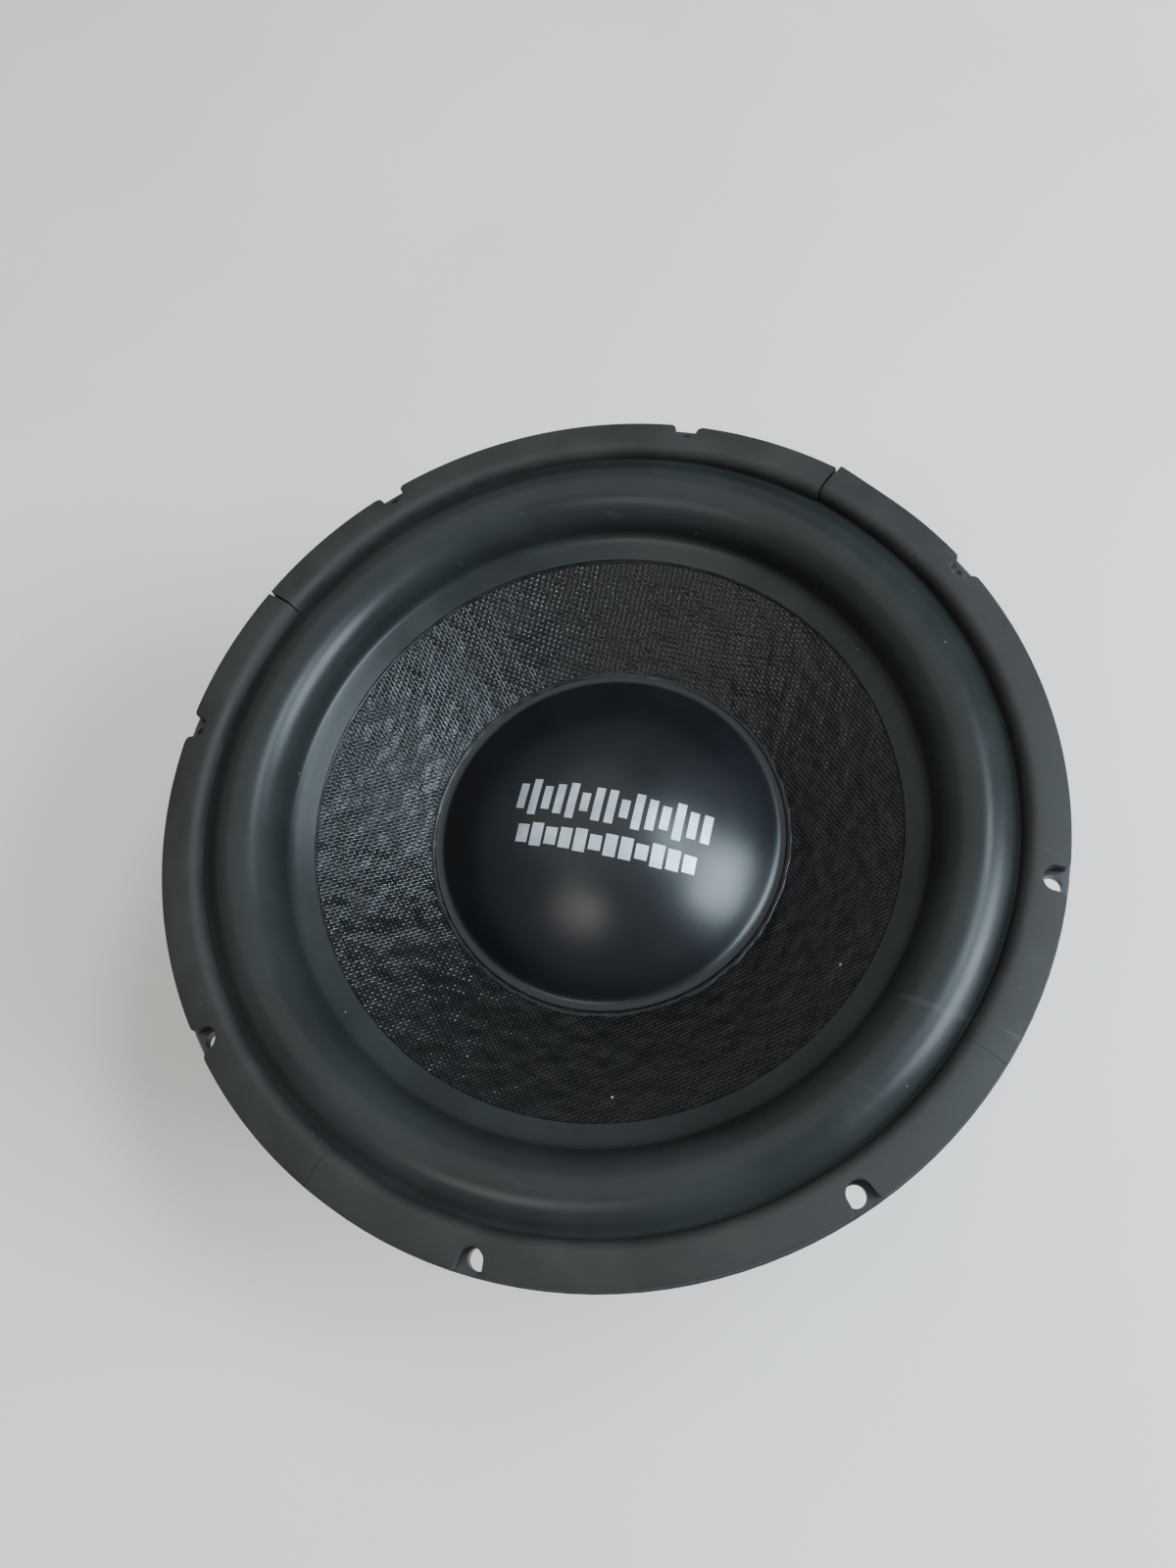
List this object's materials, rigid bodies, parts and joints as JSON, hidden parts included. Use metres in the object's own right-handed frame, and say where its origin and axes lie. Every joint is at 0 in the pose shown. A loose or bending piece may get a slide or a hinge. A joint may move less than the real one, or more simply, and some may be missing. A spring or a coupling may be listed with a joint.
{
  "type": "car subwoofer driver",
  "caption": "Round car subwoofer driver with a slotted cast frame, half-roll surround, woven cone, domed dust cap, ring magnet motor and spring-loaded wire terminals.",
  "frame": {"origin": "centre of the frame flange's rear face, the plane that meets the baffle", "axes": "+Z out of the cone along the driver's axis; terminal blocks on +X and -X; bolt holes start 22.5 degrees from +X"},
  "size_m": [0.318, 0.318, 0.1652],
  "materials": {
    "basket_paint": "satin textured black paint on cast aluminium",
    "gasket_rubber": "matte dark warm grey moulded rubber",
    "surround_rubber": "smooth satin slate-grey foam rubber",
    "cone_cloth": "near-black coated woven cloth with patchy gloss",
    "cap_skin": "smooth satin blue-black",
    "former_laminate": "amber glass-fibre laminate",
    "collar_paper": "brown craft paper wrap",
    "winding_copper": "lacquered copper wire",
    "spider_cloth": "resin-stiffened amber cotton weave",
    "lead_braid": "tinned copper braid",
    "plate_steel": "black passivated turned steel",
    "ferrite": "dark grey ground ferrite",
    "screen_mesh": "fine black wire mesh",
    "boot_rubber": "satin black moulded rubber",
    "screw_steel": "black oxide steel",
    "block_plastic": "moulded black plastic with fine grain",
    "barrel_nickel": "nickel plate",
    "button_red": "red moulded plastic",
    "button_black": "black moulded plastic",
    "spring_steel": "spring wire",
    "tab_tin": "tinned brass strip"
  },
  "bodies": {
    "frame": {"basket": "basket_paint", "top_plate": "plate_steel", "magnet_upper": "ferrite", "magnet_lower": "ferrite", "back_plate_pole": "plate_steel", "vent_screen": "screen_mesh", "magnet_boot": "boot_rubber", "motor_screws": "screw_steel", "terminal_tabs": "tab_tin", "terminal_screws": "screw_steel", "gasket_segment_1": "gasket_rubber", "tinsel_lead_1": "lead_braid", "terminal_spring_1": "spring_steel", "gasket_segment_2": "gasket_rubber", "tinsel_lead_2": "lead_braid", "terminal_spring_2": "spring_steel", "gasket_segment_3": "gasket_rubber", "tinsel_lead_3": "lead_braid", "terminal_spring_3": "spring_steel", "gasket_segment_4": "gasket_rubber", "tinsel_lead_4": "lead_braid", "terminal_spring_4": "spring_steel", "terminal_base_1": "block_plastic", "terminal_barrels_1": "barrel_nickel", "terminal_base_2": "block_plastic", "terminal_barrels_2": "barrel_nickel"},
    "diaphragm": {"cone": "cone_cloth", "dust_cap": "cap_skin", "surround": "surround_rubber", "spider": "spider_cloth", "voice_coil_former": "former_laminate", "former_collar": "collar_paper", "voice_coil_winding": "winding_copper"},
    "button_1": {"terminal_button_1": "button_red"},
    "button_2": {"terminal_button_2": "button_black"},
    "button_3": {"terminal_button_3": "button_red"},
    "button_4": {"terminal_button_4": "button_black"}
  },
  "joints": [
    {"name": "cone_travel", "type": "slide", "parent": "frame", "child": "diaphragm", "axis": [0, 0, 1], "range_m": [-0.014, 0.014], "stiffness_N_per_m": 6000, "deforming": ["surround", "spider", "tinsel_lead_1", "tinsel_lead_2", "tinsel_lead_3", "tinsel_lead_4"]},
    {"name": "button_press_1", "type": "slide", "parent": "frame", "child": "button_1", "axis": [-1, 0, 0], "range_m": [0, 0.004], "stiffness_N_per_m": 800, "springref_m": -0.004, "deforming": ["terminal_spring_1"]},
    {"name": "button_press_2", "type": "slide", "parent": "frame", "child": "button_2", "axis": [-1, 0, 0], "range_m": [0, 0.004], "stiffness_N_per_m": 800, "springref_m": -0.004, "deforming": ["terminal_spring_2"]},
    {"name": "button_press_3", "type": "slide", "parent": "frame", "child": "button_3", "axis": [1, 0, 0], "range_m": [0, 0.004], "stiffness_N_per_m": 800, "springref_m": -0.004, "deforming": ["terminal_spring_3"]},
    {"name": "button_press_4", "type": "slide", "parent": "frame", "child": "button_4", "axis": [1, 0, 0], "range_m": [0, 0.004], "stiffness_N_per_m": 800, "springref_m": -0.004, "deforming": ["terminal_spring_4"]}
  ]
}
